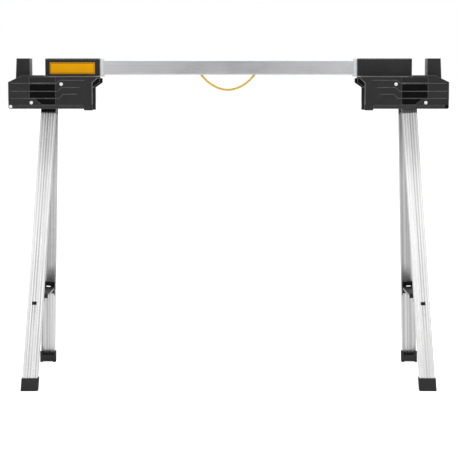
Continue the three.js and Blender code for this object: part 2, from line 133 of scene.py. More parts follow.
def place_piece(piece, node, material):
    """The piece stands for a CAD node: it rides with that node's body and takes the given material.
    """
    piece.data.materials.append(material)
    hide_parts(node)
    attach(piece, frame["nodes"][node]["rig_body"])
    return piece


def gently_curved(face):
    """Whether a face is one of the facets of a round part, rather than a true flat."""
    bends = [e.calc_face_angle() for e in face.edges if len(e.link_faces) == 2]
    return any(FLAT_ANGLE < bend < HARD_ANGLE for bend in bends)


def crease(form):
    """Marks the edges too sharp to be shaded as one surface."""
    for edge in form.edges:
        edge.smooth = len(edge.link_faces) == 2 and edge.calc_face_angle() < CREASE_ANGLE


def eased(node, material, width, along=(1, 0, 0), origin=(0, 0, 0), extra=(), wear_of=None):
    """A node's solid with every hard edge rounded over, as a real moulding or extrusion has them.

    Extra meshes are joined on. The last argument gives the value of a face that isn't a rounded
    edge.
    """
    form = bmesh.new()
    form.from_mesh(frame["nodes"][node].data)
    bmesh.ops.remove_doubles(form, verts=form.verts, dist=WELD)
    bmesh.ops.dissolve_limit(form, angle_limit=FLAT_ANGLE, verts=form.verts, edges=form.edges)
    hard = [e for e in form.edges if len(e.link_faces) == 2 and e.calc_face_angle() > HARD_ANGLE]
    curved = [face for face in form.faces if gently_curved(face)]
    made = bmesh.ops.bevel(form, geom=hard, offset=width, offset_type="OFFSET", segments=2,
                           profile=0.5, affect="EDGES", clamp_overlap=False)
    rounded = set(made["faces"])
    smooth = rounded | {face for face in curved if face.is_valid}
    wear = form.loops.layers.float.new(WEAR_AND_LIGHT)
    # Rounded edges are made paler, as worn edges and painted highlight; below 0 a face gets painted
    # shade.
    for face in form.faces:
        face.smooth = face in smooth
        flat_wear_and_light = wear_of(face) if wear_of else 0.0
        for loop in face.loops:
            loop[wear] = 1.0 if face in rounded else flat_wear_and_light
    for part in extra:
        form.from_mesh(part)
        bpy.data.meshes.remove(part)
    crease(form)
    mesh = bpy.data.meshes.new("finished_" + node)
    form.to_mesh(mesh)
    form.free()
    lay_grain(mesh, along, origin)
    return place_piece(show("finished_" + node, mesh), node, material)


def section(node, depth):
    """Closed outlines of a node's solid where the plane Y = depth cuts it, as (x, z) points."""
    form = bmesh.new()
    form.from_mesh(frame["nodes"][node].data)
    bmesh.ops.remove_doubles(form, verts=form.verts, dist=FINE_WELD)
    parts = form.verts[:] + form.edges[:] + form.faces[:]
    cut = bmesh.ops.bisect_plane(form, geom=parts, plane_co=(0, depth, 0), plane_no=(0, 1, 0))
    left = {part for part in cut["geom_cut"] if isinstance(part, bmesh.types.BMEdge)}
    outlines = []
    while left:
        edge = left.pop()
        first, vertex = edge.verts
        loop = [first]
        while vertex is not first:
            loop.append(vertex)
            edge = next(e for e in vertex.link_edges if e in left)
            left.discard(edge)
            vertex = edge.other_vert(vertex)
        left -= {e for e in first.link_edges if e in left and e.other_vert(first) is loop[-1]}
        corners = []
        for before, here, after in zip([loop[-1]] + loop, loop, loop[1:] + loop[:1]):
            into, out = here.co - before.co, after.co - here.co
            if min(into.length, out.length) > FINE_WELD and into.angle(out) > TURN_ANGLE:
                corners.append((here.co.x, here.co.z))
        outlines.append(corners)
    form.free()
    return outlines


def slab(outlines, depths, round_over, flat_wear_and_light=0.0, edge_wear_and_light=1.0):
    """A slab between two Y depths, cut to outlines with holes, with its edges rounded over."""
    low, high = sorted(depths)
    curve = bpy.data.curves.new("slab_outline", "CURVE")
    curve.dimensions = "2D"
    curve.fill_mode = "BOTH"
    for outline in outlines:
        spline = curve.splines.new("POLY")
        spline.points.add(len(outline) - 1)
        for point, (x, z) in zip(spline.points, outline):
            point.co = (x, z, 0, 1)
        spline.use_cyclic_u = True
    curve.extrude = (high - low) / 2 - round_over
    curve.bevel_depth = round_over
    curve.bevel_resolution = 2
    curve.offset = -round_over
    holder = show("slab_holder", curve)
    bpy.context.view_layer.update()
    solid = holder.evaluated_get(bpy.context.evaluated_depsgraph_get())
    mesh = bpy.data.meshes.new_from_object(solid)
    bpy.data.objects.remove(holder)
    upright = Matrix(((1, 0, 0, 0), (0, 0, -1, (low + high) / 2), (0, 1, 0, 0), (0, 0, 0, 1)))
    mesh.transform(upright)
    # Rounded faces and flats take a value: paler as worn edges and painted highlight, below 0
    # painted shade.
    layer = mesh.attributes.new(WEAR_AND_LIGHT, "FLOAT", "CORNER")
    for part in mesh.polygons:
        rounded = ROUNDED_SLOPE[0] < abs(part.normal.y) < ROUNDED_SLOPE[1]
        part.use_smooth = rounded
        for corner in part.loop_indices:
            layer.data[corner].value = edge_wear_and_light if rounded else flat_wear_and_light
    return mesh


def joined(name, meshes):
    form = bmesh.new()
    for part in meshes:
        form.from_mesh(part)
        bpy.data.meshes.remove(part)
    crease(form)
    mesh = bpy.data.meshes.new(name)
    form.to_mesh(mesh)
    form.free()
    lay_grain(mesh)
    return mesh


PLATE_LEAF = 2.0 * MM      # thickness of a bracket plate's flat
PLATE_LIP = 0.8 * MM       # how far its lip and bead stand proud, and how deep its panel is sunk
PLATE_RIB = 1.2 * MM       # how far its ribs stand proud
ROUND = 0.4 * MM           # rounding of its ribs
LEAF_ROUND = 0.6 * MM      # rounding of its outline and window
PANEL_LAP = 1.0 * MM       # how far the sunk panel's floor runs in behind its edges
PANEL_BACK = 0.05 * MM     # from the plate's inside to the back of that floor
PANEL_ROUND = 0.1 * MM


def ribbed_plate(node, facing, material):
    """A bracket plate: pierced leaf, floor of the sunk panel, lip and bead, and ribs."""
    low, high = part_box(node)
    inside = facing * min(abs(low.y), abs(high.y))
    face = inside + facing * PLATE_LEAF

    def at(height):
        return face + facing * height

    leaf = section(node, at(-PLATE_LIP / 2))
    sunk = max((o for o in leaf if len(o) == 4), key=lambda outline: min(z for _, z in outline))
    x_low, x_high = min(x for x, _ in sunk) - PANEL_LAP, max(x for x, _ in sunk) + PANEL_LAP
    z_low, z_high = min(z for _, z in sunk) - PANEL_LAP, max(z for _, z in sunk) + PANEL_LAP
    panel = [(x_low, z_low), (x_high, z_low), (x_high, z_high), (x_low, z_high)]
    ribs = section(node, at((PLATE_LIP + PLATE_RIB) / 2))
    raised = section(node, at(PLATE_LIP / 2))
    bead = min(raised, key=lambda outline: min(abs(x) for x, _ in outline))
    lip = [outline for outline in raised if outline is not bead]
    root = at(-PLATE_LEAF / 2)
    # The sunk panel's floor is darkened as painted shade; the lip, bead, ribs and rounded edges are
    # made paler as painted highlight.
    mesh = joined("finished_" + node, [
        slab(leaf, (inside, face), LEAF_ROUND),
        slab([panel], (inside + facing * PANEL_BACK, at(-PLATE_LIP)), PANEL_ROUND,
             flat_wear_and_light=-1.0),
        slab(lip, (root, at(PLATE_LIP)), ROUND, flat_wear_and_light=0.1),
        slab([bead], (root, at(PLATE_LIP)), ROUND, flat_wear_and_light=1.0),
        slab(ribs, (root, at(PLATE_RIB)), ROUND, flat_wear_and_light=0.4, edge_wear_and_light=0.7),
    ])
    return place_piece(show("finished_" + node, mesh), node, material)


RIDGE_PITCH = 8 * MM
RIDGE_HEIGHT = 0.45 * MM
RIDGE_MARGIN = 5 * MM      # from the cap's ends
RIDGE_INSET = 2 * MM       # and from its sides
RIDGE_FOOT = 0.1 * MM      # how far the valleys lie below the cap's top
RIDGE_ROOT = 1 * MM        # and how far the ridges reach down into the cap
RIDGE_ROUND = 0.05 * MM
# How much paler the ridges are made all over.
RIDGE_PALING = 0.2
RIDGE_STEPS = 8            # steps along each ridge


def cross_ridges(node):
    """Low rounded ridges across the top of a cap, which keep a workpiece from sliding."""
    low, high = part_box(node)
    start, end = low.x + RIDGE_MARGIN, high.x - RIDGE_MARGIN
    top = high.z - RIDGE_FOOT
    steps = round((end - start) / RIDGE_PITCH) * RIDGE_STEPS
    crest = []
    for i in range(steps + 1):
        swell = 0.5 - 0.5 * math.cos(2 * math.pi * i / RIDGE_STEPS)
        crest.append((start + (end - start) * i / steps, top + RIDGE_HEIGHT * swell))
    outline = [(start, top - RIDGE_ROOT), *crest, (end, top - RIDGE_ROOT)]
    return slab([outline], (low.y + RIDGE_INSET, high.y - RIDGE_INSET), RIDGE_ROUND,
                flat_wear_and_light=RIDGE_PALING, edge_wear_and_light=RIDGE_PALING)


BADGE_MARGIN = 1.6 * MM    # from the badge's edge in to its sunk line
BADGE_LINE = 1.1 * MM      # width of that line
BADGE_SUNK = 0.35 * MM     # its depth
BADGE_BACK = 0.1 * MM      # clearance of the raised parts behind, and of the base at its rim
BADGE_ROUND = 0.15 * MM


def make_badge(material):
    """A plain enamelled name plate without a name: a raised field inside a raised border."""
    low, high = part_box("cap_badge")

    def frame_at(inset):
        left, right, bottom, top = low.x + inset, high.x - inset, low.z + inset, high.z - inset
        return [(left, bottom), (right, bottom), (right, top), (left, top)]

    field = BADGE_MARGIN + BADGE_LINE
    raised = (low.y, high.y - BADGE_BACK)
    mesh = joined("finished_cap_badge", [
        # The base shows in the sunk line, and its flats are darkened almost black as painted shade.
        slab([frame_at(BADGE_BACK)], (low.y + BADGE_SUNK, high.y), 0.1 * MM,
             flat_wear_and_light=-1.0, edge_wear_and_light=0.0),
        slab([frame_at(0), frame_at(BADGE_MARGIN)], raised, BADGE_ROUND),
        slab([frame_at(field)], raised, BADGE_ROUND),
    ])
    return place_piece(show("finished_cap_badge", mesh), "cap_badge", material)


def turned(name, profile, axis, centre, sides=40):
    """A lathe-turned solid; profile is (radius, place along the axis) from one end to the other."""
    turn = Vector(axis).to_track_quat("X", "Z").to_matrix()
    points, faces = [], []
    for radius, along in profile:
        for i in range(sides):
            angle = 2 * math.pi * i / sides
            local = Vector((along, radius * math.cos(angle), radius * math.sin(angle)))
            points.append(turn @ local + Vector(centre))
    for ring in range(len(profile) - 1):
        for i in range(sides):
            j = (i + 1) % sides
            a, b = ring * sides, (ring + 1) * sides
            faces.append((a + i, a + j, b + j, b + i))
    faces.append(tuple(reversed(range(sides))))
    faces.append(tuple(range((len(profile) - 1) * sides, len(profile) * sides)))
    mesh = bpy.data.meshes.new(name)
    mesh.from_pydata(points, [], faces)
    form = bmesh.new()
    form.from_mesh(mesh)
    bmesh.ops.recalc_face_normals(form, faces=form.faces)
    for face in form.faces:
        face.smooth = True
    crease(form)
    form.to_mesh(mesh)
    form.free()
    lay_grain(mesh, axis, centre)
    return show(name, mesh)


HEAD_RADIUS = 4.2 * MM
SHANK_RADIUS = 3.0 * MM
HEAD_HEIGHT = 1.3 * MM
HEAD_RIM = 0.35 * MM
HEAD_ROLL = 0.15 * MM      # how far the head's edge is rolled under
SHANK_CHAMFER = 0.4 * MM
DOME_STEPS = 7


def rivet_head(seat):
    """A low domed head with a rolled rim, from its seat outwards."""
    head = [(HEAD_RADIUS - HEAD_ROLL, seat), (HEAD_RADIUS, seat + HEAD_ROLL),
            (HEAD_RADIUS, seat + HEAD_RIM)]
    for step in range(1, DOME_STEPS + 1):
        angle = math.pi / 2 * step / DOME_STEPS
        radius = HEAD_RADIUS * math.cos(angle) + HEAD_ROLL
        head.append((radius, seat + HEAD_RIM + (HEAD_HEIGHT - HEAD_RIM) * math.sin(angle)))
    return head


def rivet(node, axis, material, both_ends=True):
    """A turned rivet in place of a node's plain pin, on the same axis and of the same length."""
    low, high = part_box(node)
    centre = (low + high) / 2
    direction = Vector(axis).normalized()
    points = [vertex.co for vertex in frame["nodes"][node].data.vertices]
    reach = [(point - centre).dot(direction) for point in points]
    start, end = min(reach), max(reach)
    outer = rivet_head(end - HEAD_HEIGHT)
    if both_ends:
        inner = [(radius, -along) for radius, along in reversed(rivet_head(-start - HEAD_HEIGHT))]
    else:
        inner = [(SHANK_RADIUS - SHANK_CHAMFER, start), (SHANK_RADIUS, start + SHANK_CHAMFER)]
    shank = [(SHANK_RADIUS, inner[-1][1]), (SHANK_RADIUS, outer[0][1])]
    piece = turned("finished_" + node, inner + shank + outer, direction, centre)
    return place_piece(piece, node, material)


# ---- cord -----------------------------------------------------------------------------------
def smooth_route(points, step):
    """Points of a Catmull-Rom curve through the given ones, about one step apart."""
    ends = [2 * points[0] - points[1], *points, 2 * points[-1] - points[-2]]
    route = []
    for a, b, c, d in zip(ends, ends[1:], ends[2:], ends[3:]):
        count = max(1, round((c - b).length / step))
        for i in range(count):
            t = i / count
            route.append(0.5 * (2 * b + (c - a) * t + (2 * a - 5 * b + 4 * c - d) * t ** 2
                                + (3 * b - a - 3 * c + d) * t ** 3))
    return route + [points[-1]]


def braided(name, route, radius, strands=4, pitch=9 * MM, relief=0.09, sides=28):
    """A round braid swept along a route: two families of strands cross over each other."""
    points, faces, grain = [], [], []
    along = 0.0
    side = Vector((0, 1, 0))
    for n, place in enumerate(route):
        ahead = (route[min(n + 1, len(route) - 1)] - route[max(n - 1, 0)]).normalized()
        across = (side - ahead * side.dot(ahead)).normalized()
        up = ahead.cross(across)
        side = across
        if n:
            along += (place - route[n - 1]).length
        for i in range(sides):
            angle = 2 * math.pi * i / sides
            right = math.cos(strands * angle + 2 * math.pi * along / pitch * strands / 2)
            left = math.cos(strands * angle - 2 * math.pi * along / pitch * strands / 2)
            lump = max(right, left) * relief - relief * 0.35
            outwards = across * math.cos(angle) + up * math.sin(angle)
            points.append(place + outwards * radius * (1 + lump))
            grain.append((along, radius * angle, 0))
    for ring in range(len(route) - 1):
        for i in range(sides):
            j = (i + 1) % sides
            a, b = ring * sides, (ring + 1) * sides
            faces.append((a + i, b + i, b + j, a + j))
    faces.append(tuple(range(sides)))
    faces.append(tuple(reversed(range((len(route) - 1) * sides, len(route) * sides))))
    mesh = bpy.data.meshes.new(name)
    mesh.from_pydata(points, [], faces)
    mesh.polygons.foreach_set("use_smooth", [True] * len(mesh.polygons))
    attribute = mesh.attributes.new(GRAIN, "FLOAT_VECTOR", "POINT")
    attribute.data.foreach_set("vector", [number for place in grain for number in place])
    return show(name, mesh)


def knot_route(node):
    """An overhand knot drawn up tight, as a small trefoil inside the node's ball."""
    low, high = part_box(node)
    centre = (low + high) / 2
    size = (high.z - low.z) / 2 - KNOT_STRAND
    route = []
    for i in range(KNOT_STEPS + 1):
        t = 2 * math.pi * i / KNOT_STEPS
        swell = (2 + math.cos(3 * t)) / 3
        route.append(centre + size * Vector((swell * math.cos(2 * t), 0.55 * math.sin(3 * t),
                                             swell * math.sin(2 * t))))
    return route


def make_cord(yarn):
    route = smooth_route([Vector((x, 0, z)) for x, z in CORD_ROUTE], CORD_STEP)
    cord = place_piece(braided("braided_carry_cord", route, CORD_DIAMETER / 2), "carry_cord", yarn)
    for end in ENDS:
        node = "cord_knot_" + end
        knot = braided("drawn_knot_" + end, knot_route(node), KNOT_STRAND)
        place_piece(knot, node, yarn)


# ---- shader building --------------------------------------------------------------------------
def wire(tree, kind, sockets=None, **settings):
    """Adds a node, its sockets set from numbers and colours or linked from other outputs."""
    node = tree.nodes.new(kind)
    for name, value in settings.items():
        setattr(node, name, value)
    for name, value in (sockets or {}).items():
        if isinstance(value, bpy.types.NodeSocket):
            tree.links.new(value, node.inputs[name])
        else:
            node.inputs[name].default_value = value
    return node


def maths(tree, operation, *values):
    return wire(tree, "ShaderNodeMath", dict(enumerate(values)), operation=operation).outputs[0]


def remap(tree, value, low, high, to_low=0.0, to_high=1.0):
    sockets = {"Value": value, "From Min": low, "From Max": high,
               "To Min": to_low, "To Max": to_high}
    return wire(tree, "ShaderNodeMapRange", sockets).outputs["Result"]


def mix_colours(tree, share, first, second):
    """Sockets 0, 6 and 7 are the factor and the two colours of a colour mix."""
    sockets = {0: share, 6: first, 7: second}
    return wire(tree, "ShaderNodeMix", sockets, data_type="RGBA").outputs[2]


def noise(tree, place, scale, detail, **more):
    """Soft noise from 0 to 1; scale is in lumps to the metre."""
    sockets = {"Vector": place, "Scale": scale, "Detail": detail, **more}
    return wire(tree, "ShaderNodeTexNoise", sockets).outputs[0]


def grey(value):
    return (value, value, value, 1.0)


def effect_group(name, inputs, outputs):
    """An empty effect with named sockets: its tree, what it is given and its end node."""
    tree = bpy.data.node_groups.new(name, "ShaderNodeTree")
    for socket, kind in inputs.items():
        tree.interface.new_socket(socket, in_out="INPUT", socket_type="NodeSocket" + kind)
    for socket, kind in outputs.items():
        tree.interface.new_socket(socket, in_out="OUTPUT", socket_type="NodeSocket" + kind)
    start = tree.nodes.new("NodeGroupInput")
    end = tree.nodes.new("NodeGroupOutput")
    return tree, start.outputs, end


def finish_group(tree, end, **results):
    for name, value in results.items():
        tree.links.new(value, end.inputs[name])
    return tree


def drawn_lines_effect():
    """Fine lines left along a piece by drawing, rolling or brushing it."""
    tree, given, end = effect_group(
        "drawn_lines", {"Place": "Vector", "Pitch": "Float", "Length": "Float"},
        {"Lines": "Float", "Bands": "Float"})
    parts = wire(tree, "ShaderNodeSeparateXYZ", {"Vector": given["Place"]}).outputs
    along = maths(tree, "DIVIDE", parts["X"], given["Length"])
    wide = maths(tree, "DIVIDE", parts["Y"], given["Pitch"])
    high = maths(tree, "DIVIDE", parts["Z"], given["Pitch"])
    fine_place = wire(tree, "ShaderNodeCombineXYZ", {"X": along, "Y": wide, "Z": high}).outputs[0]
    fine = noise(tree, fine_place, 1.0, 4.0, Roughness=0.65)
    broad = noise(tree, fine_place, 0.17, 2.0, Roughness=0.5)
    return finish_group(tree, end, Lines=remap(tree, fine, 0.3, 0.7),
                        Bands=remap(tree, broad, 0.32, 0.68))


def moulded_texture_effect():
    """The fine spark texture of a moulding tool, with faint flow shading."""
    tree, given, end = effect_group("moulded_texture", {"Place": "Vector", "Grain": "Float"},
                                    {"Height": "Float", "Flow": "Float"})
    count = maths(tree, "DIVIDE", 1.0, given["Grain"])
    pits = wire(tree, "ShaderNodeTexVoronoi", {"Vector": given["Place"], "Scale": count},
                feature="SMOOTH_F1").outputs["Distance"]
    fine = noise(tree, given["Place"], count, 3.0)
    height = maths(tree, "ADD", maths(tree, "MULTIPLY", pits, 0.6), fine)
    flow = noise(tree, given["Place"], 22.0, 3.0, Distortion=0.6)
    return finish_group(tree, end, Height=height, Flow=remap(tree, flow, 0.3, 0.7))


def edge_rub_and_light_effect():
    """Paler where a finish is worn or gets painted highlight, in uneven patches, and painted shade
    in recesses.
    """
    tree, given, end = effect_group(
        "edge_rub_and_light", {"Place": "Vector", "Wear": "Float", "Amount": "Float"},
        {"Mask": "Float", "Sheltered": "Float"})
    patches = noise(tree, given["Place"], 70.0, 5.0, Roughness=0.7)
    spread = remap(tree, patches, 0.35, 0.7, 0.45, 1.0)
    paler_share = maths(tree, "MAXIMUM", given["Wear"], 0.0)
    rub_and_highlight = maths(tree, "MULTIPLY", maths(tree, "MULTIPLY", spread, paler_share), given["Amount"])
    # Below 0, a recess is darkened as painted shade.
    shade_share = maths(tree, "MAXIMUM", maths(tree, "MULTIPLY", given["Wear"], -1.0), 0.0)
    return finish_group(tree, end, Mask=rub_and_highlight, Sheltered=shade_share)


def handling_effect():
    """Smudges, light scuffs and dust left by handling."""
    tree, given, end = effect_group("handling", {"Place": "Vector"},
                                    {"Smudge": "Float", "Scuffs": "Float"})
    smudge = noise(tree, given["Place"], 13.0, 4.0, Roughness=0.55, Distortion=0.8)
    stretched = wire(tree, "ShaderNodeMapping",
                     {"Vector": given["Place"], "Scale": (160.0, 900.0, 500.0),
                      "Rotation": (0.3, 0.5, 0.9)}).outputs[0]
    marks = noise(tree, stretched, 1.0, 2.0)
    return finish_group(tree, end, Smudge=remap(tree, smudge, 0.3, 0.7),
                        Scuffs=remap(tree, marks, 0.66, 0.74))


EFFECTS = {make.__name__.removesuffix("_effect"): make() for make in
           (drawn_lines_effect, moulded_texture_effect, edge_rub_and_light_effect, handling_effect)}


def effect(tree, name, **sockets):
    return wire(tree, "ShaderNodeGroup", sockets, node_tree=EFFECTS[name]).outputs


def shaded_material(name):
    material = bpy.data.materials.new(name)
    material.use_nodes = True
    return material, material.node_tree, material.node_tree.nodes["Principled BSDF"]


def begin_finish(name, **constants):
    """A material with its tree and its own shader, and the place and the worn, highlight and shade
    values.
    """
    material, tree, shader = shaded_material(name)
    for socket, value in constants.items():
        shader.inputs[socket.replace("_", " ")].default_value = value
    place = wire(tree, "ShaderNodeAttribute", attribute_name=GRAIN).outputs["Vector"]
    wear = wire(tree, "ShaderNodeAttribute", attribute_name=WEAR_AND_LIGHT).outputs["Fac"]
    return material, tree, shader, place, wear


def surface(tree, shader, colour, roughness, height, depth):
    """Feeds a shader its colour, roughness and relief; depth is the relief's height in metres."""
    tree.links.new(colour, shader.inputs["Base Color"])
    tree.links.new(roughness, shader.inputs["Roughness"])
    bump = wire(tree, "ShaderNodeBump", {"Height": height, "Distance": depth, "Strength": 1.0})
    tree.links.new(bump.outputs["Normal"], shader.inputs["Normal"])


# ---- finishes -------------------------------------------------------------------------------
# Top of a leg, where it runs in its bracket: painted black, then dull, fading out: bracket shade
# and reflection.
HAZE_LENGTH = 170 * MM
HAZE = 0.45                # share of the dull tone where it starts
SHADOW_DARKNESS = 0.9
BLACK_FADE = 0.8 * MM      # half the width of the black stretch's edge
BLACK_RAGGED = 1.2 * MM    # how far the drawn lines carry that edge up and down


def drawn_aluminium(name, dark, light, pitch, length, rough, depth, bracket_shade_length=None):
    """Bare aluminium with lines along its length and brighter worn edges.

    Up to the given shade length, from where the grain starts, it is painted black, and dull
    below that: painted shade and reflection of the bracket over it, taken as part of the finish.
    """
    material, tree, shader, place, wear = begin_finish(name, Metallic=1.0)
    lines = effect(tree, "drawn_lines", Place=place, Pitch=pitch, Length=length)
    marks = effect(tree, "handling", Place=place)
    rub_and_light = effect(tree, "edge_rub_and_light", Place=place, Wear=wear, Amount=0.8)
    tone = maths(tree, "ADD", maths(tree, "MULTIPLY", lines["Lines"], 0.45),
                 maths(tree, "MULTIPLY", lines["Bands"], 0.55))
    colour = mix_colours(tree, tone, dark, light)
    colour = mix_colours(tree, rub_and_light["Mask"], colour, grey(0.93))
    # Groove floors and the inside of a channel's web are darkened as painted shade.
    uneven = remap(tree, lines["Bands"], 0.2, 0.8, 0.7, 0.08)
    recess_shade = maths(tree, "MULTIPLY", rub_and_light["Sheltered"], uneven)
    colour = mix_colours(tree, recess_shade, colour, grey(0.2))
    if bracket_shade_length:
        down = wire(tree, "ShaderNodeSeparateXYZ", {"Vector": place}).outputs["X"]
        sway = remap(tree, lines["Lines"], 0.0, 1.0, -BLACK_RAGGED, BLACK_RAGGED)
        ragged = maths(tree, "ADD", down, sway)
        # The black stretch and the dull haze below it are painted shade and reflection of the
        # bracket.
        black = remap(tree, ragged, bracket_shade_length - BLACK_FADE, bracket_shade_length + BLACK_FADE, SHADOW_DARKNESS, 0.0)
        haze = remap(tree, down, bracket_shade_length, bracket_shade_length + HAZE_LENGTH, HAZE, 0.0)
        colour = mix_colours(tree, haze, colour, grey(0.2))
        colour = mix_colours(tree, black, colour, grey(0.04))
    low, high = rough
    roughness = remap(tree, lines["Lines"], 0.0, 1.0, high, low)
    roughness = maths(tree, "ADD", roughness, maths(tree, "MULTIPLY", marks["Smudge"], 0.06))
    roughness = maths(tree, "ADD", roughness, maths(tree, "MULTIPLY", marks["Scuffs"], 0.15))
    surface(tree, shader, colour, roughness, lines["Lines"], depth)
    return material


def moulded_plastic(name, dark, light, worn, grain, rough, depth, highlight_and_rub_amount,
                    gloss=0.25, recess_shade=0.45):
    """Moulded plastic or rubber: tool texture, faint flow shading, and paler edges, partly painted
    highlight.
    """
    material, tree, shader, place, wear = begin_finish(name, Metallic=0.0, Specular_IOR_Level=gloss)
    texture = effect(tree, "moulded_texture", Place=place, Grain=grain)
    marks = effect(tree, "handling", Place=place)
    rub_and_light = effect(tree, "edge_rub_and_light", Place=place, Wear=wear, Amount=highlight_and_rub_amount)
    colour = mix_colours(tree, texture["Flow"], dark, light)
    colour = mix_colours(tree, maths(tree, "MULTIPLY", marks["Scuffs"], 0.1), colour, worn)
    # Edges and raised parts are made paler: worn edges, and painted highlight.
    colour = mix_colours(tree, rub_and_light["Mask"], colour, worn)
    # Recesses are darkened towards black, as painted shade.
    painted_shade = maths(tree, "MULTIPLY", rub_and_light["Sheltered"], recess_shade)
    colour = mix_colours(tree, painted_shade, colour, grey(0.004))
    low, high = rough
    roughness = remap(tree, marks["Smudge"], 0.0, 1.0, low, high)
    surface(tree, shader, colour, roughness, texture["Height"], depth)
    return material


def coated_steel(name, dark, light, gloss):
    """Black coated steel, with bare metal showing through on the edges."""
    material, tree, shader, place, wear = begin_finish(name, Specular_IOR_Level=gloss)
    texture = effect(tree, "moulded_texture", Place=place, Grain=0.9 * MM)
    marks = effect(tree, "handling", Place=place)
    rub_and_light = effect(tree, "edge_rub_and_light", Place=place, Wear=wear, Amount=0.7)
    colour = mix_colours(tree, texture["Flow"], dark, light)
    colour = mix_colours(tree, rub_and_light["Mask"], colour, grey(0.6))
    roughness = remap(tree, marks["Smudge"], 0.0, 1.0, 0.32, 0.5)
    tree.links.new(rub_and_light["Mask"], shader.inputs["Metallic"])
    surface(tree, shader, colour, roughness, texture["Height"], 0.03 * MM)
    return material


def plated_steel():
    """Bright plated rivets with turning rings and a few scratches."""
    material, tree, shader, place, _ = begin_finish("bright_plated_steel", Metallic=0.6)
    parts = wire(tree, "ShaderNodeSeparateXYZ", {"Vector": place}).outputs
    radius = maths(tree, "SQRT", maths(tree, "ADD", maths(tree, "POWER", parts["Y"], 2.0),
                                       maths(tree, "POWER", parts["Z"], 2.0)))
    rings = maths(tree, "SINE", maths(tree, "MULTIPLY", radius, 2 * math.pi / (0.35 * MM)))
    rings = remap(tree, rings, -1.0, 1.0)
    marks = effect(tree, "handling", Place=place)
    colour = mix_colours(tree, rings, grey(0.93), grey(1.0))
    colour = mix_colours(tree, maths(tree, "MULTIPLY", marks["Scuffs"], 0.4), colour, grey(0.6))
    roughness = remap(tree, marks["Smudge"], 0.0, 1.0, 0.25, 0.4)
    surface(tree, shader, colour, roughness, rings, 0.01 * MM)
    return material


def cord_yarn():
    """Braided yellow polypropylene: fibres along each strand, darker in the crossings."""
    material, tree, shader, place, _ = begin_finish("braided_yellow_yarn", Specular_IOR_Level=0.35,
                                                    Sheen_Weight=0.25)
    parts = wire(tree, "ShaderNodeSeparateXYZ", {"Vector": place}).outputs
    slant = maths(tree, "ADD", maths(tree, "MULTIPLY", parts["X"], 900.0),
                  maths(tree, "MULTIPLY", parts["Y"], 2200.0))
    fibres = remap(tree, maths(tree, "SINE", slant), -1.0, 1.0)
    blotches = noise(tree, place, 420.0, 3.0)
    tone = maths(tree, "MULTIPLY", fibres, remap(tree, blotches, 0.3, 0.7, 0.5, 1.0))
    colour = mix_colours(tree, tone, (0.78, 0.47, 0.015, 1), (1.0, 0.7, 0.04, 1))
    roughness = remap(tree, blotches, 0.3, 0.7, 0.55, 0.8)
    surface(tree, shader, colour, roughness, fibres, 0.06 * MM)
    return material


FINISHES = {
    "beam_aluminium": drawn_aluminium("satin_rail_aluminium", (0.66, 0.664, 0.678, 1),
                                      (0.76, 0.764, 0.778, 1), 0.35 * MM, 90 * MM,
                                      (0.24, 0.33), 0.012 * MM),
    "leg_aluminium": drawn_aluminium("mill_channel_aluminium", grey(0.72), grey(0.96),
                                     0.9 * MM, 220 * MM, (0.2, 0.34), 0.02 * MM,
                                     bracket_shade_length=35 * MM),
    # The pale tone on this moulding's edges and raised parts is partly painted highlight.
    "charcoal_plastic": moulded_plastic("charcoal_moulding", (0.021, 0.021, 0.0215, 1),
                                        (0.028, 0.028, 0.0285, 1), (0.3, 0.3, 0.303, 1), 0.7 * MM,
                                        (0.42, 0.6), 0.05 * MM, 0.8),
    "foot_rubber": moulded_plastic("foot_rubber", (0.026, 0.0265, 0.0275, 1),
                                   (0.036, 0.0365, 0.038, 1), (0.1, 0.098, 0.092, 1),
                                   1.1 * MM, (0.65, 0.85), 0.08 * MM, 0.4),
    "black_steel": coated_steel("black_coated_steel", (0.011, 0.0115, 0.0125, 1),
                                (0.019, 0.0195, 0.021, 1), 0.35),
    "bright_steel": plated_steel(),
    "light_trim": moulded_plastic("pale_collar_moulding", (0.8, 0.81, 0.83, 1),
                                  (0.88, 0.89, 0.91, 1), (0.95, 0.95, 0.96, 1),
                                  0.6 * MM, (0.35, 0.5), 0.03 * MM, 0.6),
    # The badge's sunk line is darkened almost black, as painted shade.
    "badge_yellow": moulded_plastic("badge_enamel", (1.0, 0.43, 0.0, 1), (1.0, 0.48, 0.0, 1),
                                    (1.0, 0.55, 0.03, 1), 0.8 * MM, (0.3, 0.45), 0.01 * MM, 0.5,
                                    gloss=0.08, recess_shade=0.95),
    "cord_yellow": cord_yarn(),
}

# A near-black matt finish, darker than the coated steel: painted shade for the shadowed inside seen
# through each plate's window, also used on black corner rivets.
SHADE_BLACK_FINISH = coated_steel("near_black_painted_shade", (0.0035, 0.0035, 0.004, 1),
                            (0.006, 0.006, 0.0065, 1), 0.06)

# How far each kind of piece has its edges rounded over, in millimetres.
EDGE_WIDTHS = {
    "beam_rail": 0.5, "beam_collar": 0.6, "beam_cap": 0.7, "bracket_core": 0.4,
    "pivot_gusset": 0.5, "support_post": 0.7, "leg_head": 0.6, "leg": 0.25,
    "foot_cap": 0.6, "brace_saddle": 0.35, "brace_link": 0.6,
}


# ---- pieces ---------------------------------------------------------------------------------
def leg_direction(face, end):
    """From a leg's hinge down to its brace pin, as a unit vector."""
    hinge = Vector(JOINTS[f"leg_close_{face}_{end}"]["pos_m"])
    pin = Vector(JOINTS[f"brace_fold_{face}_{end}"]["pos_m"])
    return (pin - hinge).normalized()


def finish_node(node, along=(1, 0, 0), **more):
    kind = next(k for k in sorted(EDGE_WIDTHS, key=len, reverse=True) if node.startswith(k))
    return eased(node, FINISHES[SLOTS[node]], EDGE_WIDTHS[kind] * MM, along, **more)


